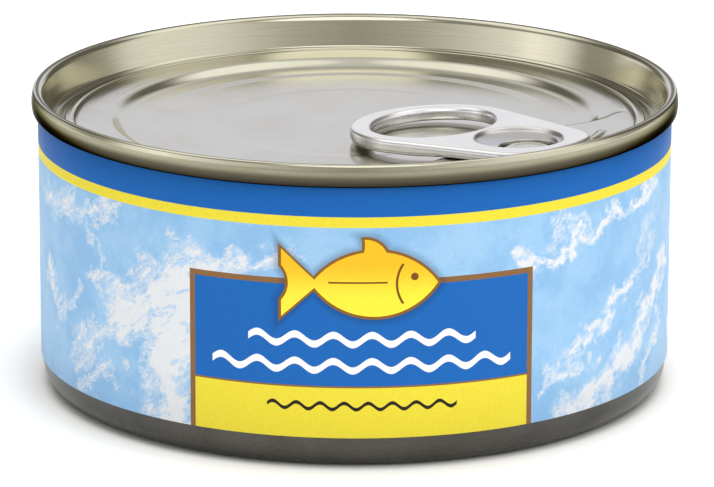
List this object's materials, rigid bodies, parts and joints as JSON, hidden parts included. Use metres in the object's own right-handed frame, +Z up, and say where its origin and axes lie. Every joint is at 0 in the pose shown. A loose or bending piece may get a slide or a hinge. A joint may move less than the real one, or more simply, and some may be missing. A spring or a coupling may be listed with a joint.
{
  "type": "tuna can",
  "caption": "Low round food can, shut, with a paper label, a rolled seam and a sunken easy-open lid with a ring-pull tab.",
  "frame": {"origin": "middle of the can's foot, at the level it stands on", "axes": "+Z up along the can's axis, out through the lid; -Y is the side with the label's front panel; +X is to the right of it"},
  "size_m": [0.0874, 0.0874, 0.0408],
  "materials": {
    "can_body": "lacquered tin-plated steel",
    "label": "printed coated paper",
    "lid": "bright lacquered tin-plated steel",
    "pull_tab": "bright plain steel"
  },
  "bodies": {
    "root": {"can_body": "can_body", "label": "label", "lid": "lid", "pull_tab": "pull_tab"}
  },
  "joints": []
}
